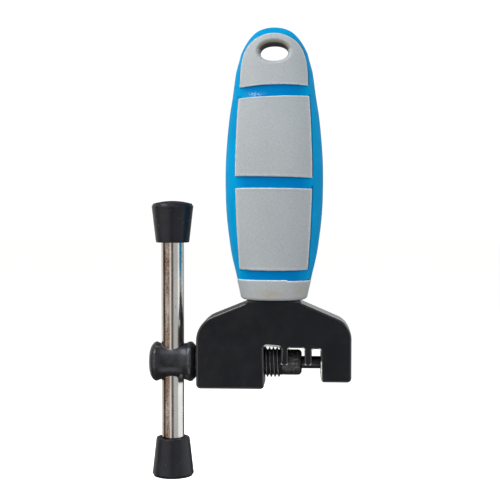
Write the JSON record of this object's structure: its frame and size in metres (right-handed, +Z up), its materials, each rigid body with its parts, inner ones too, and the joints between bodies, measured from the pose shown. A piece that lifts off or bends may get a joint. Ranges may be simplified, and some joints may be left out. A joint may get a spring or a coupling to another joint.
{
  "type": "chain tool",
  "caption": "Hand-held bicycle chain rivet extractor: black C-shaped steel body, forcing screw with sliding tommy bar, and a blue and grey overmoulded handle with a hanging hole.",
  "frame": {"origin": "centre of the hanging hole in the handle, on the handle's middle plane", "axes": "+Z up along the handle, away from the body; +X along the forcing screw, from its head towards the anvil leg; -Y out of the front face"},
  "size_m": [0.0668, 0.0214, 0.1494],
  "materials": {
    "black_paint": "gloss black paint on cast steel",
    "blue_plastic": "smooth blue hard plastic",
    "grey_soft": "fine-grained grey soft plastic",
    "black_oxide": "satin black oxide on turned steel",
    "pin_steel": "hardened dark steel",
    "chrome_bar": "bright plated steel with fine scuffs",
    "black_plastic": "satin black moulded plastic"
  },
  "bodies": {
    "frame": {"tool_body": "black_paint", "handle_core": "blue_plastic", "grip_top": "grey_soft", "grip_middle_front": "grey_soft", "grip_middle_back": "grey_soft", "grip_lower_front": "grey_soft", "grip_lower_back": "grey_soft", "grip_collar": "grey_soft"},
    "drive_pin": {"drive_pin": "pin_steel"},
    "screw": {"forcing_screw": "black_oxide", "pin_cap": "black_oxide"},
    "tommy_bar": {"tommy_bar": "chrome_bar", "bar_cap_upper": "black_plastic", "bar_cap_lower": "black_plastic"}
  },
  "joints": [
    {"name": "screw_feed", "type": "slide", "parent": "frame", "child": "drive_pin", "axis": [1, 0, 0], "range_m": [-0.02252, 0.00027]},
    {"name": "screw_turn", "type": "hinge", "parent": "drive_pin", "child": "screw", "pos_m": [-0.0338, 0, -0.1018], "axis": [1, 0, 0], "range_deg": [-6480, 72]},
    {"name": "bar_slide", "type": "slide", "parent": "screw", "child": "tommy_bar", "axis": [0, 0, 1], "range_m": [-0.0325, 0.0182]}
  ],
  "couplings": [
    {"joint": "screw_feed", "follows": "screw_turn", "m_per_rad": 0.00019894}
  ]
}
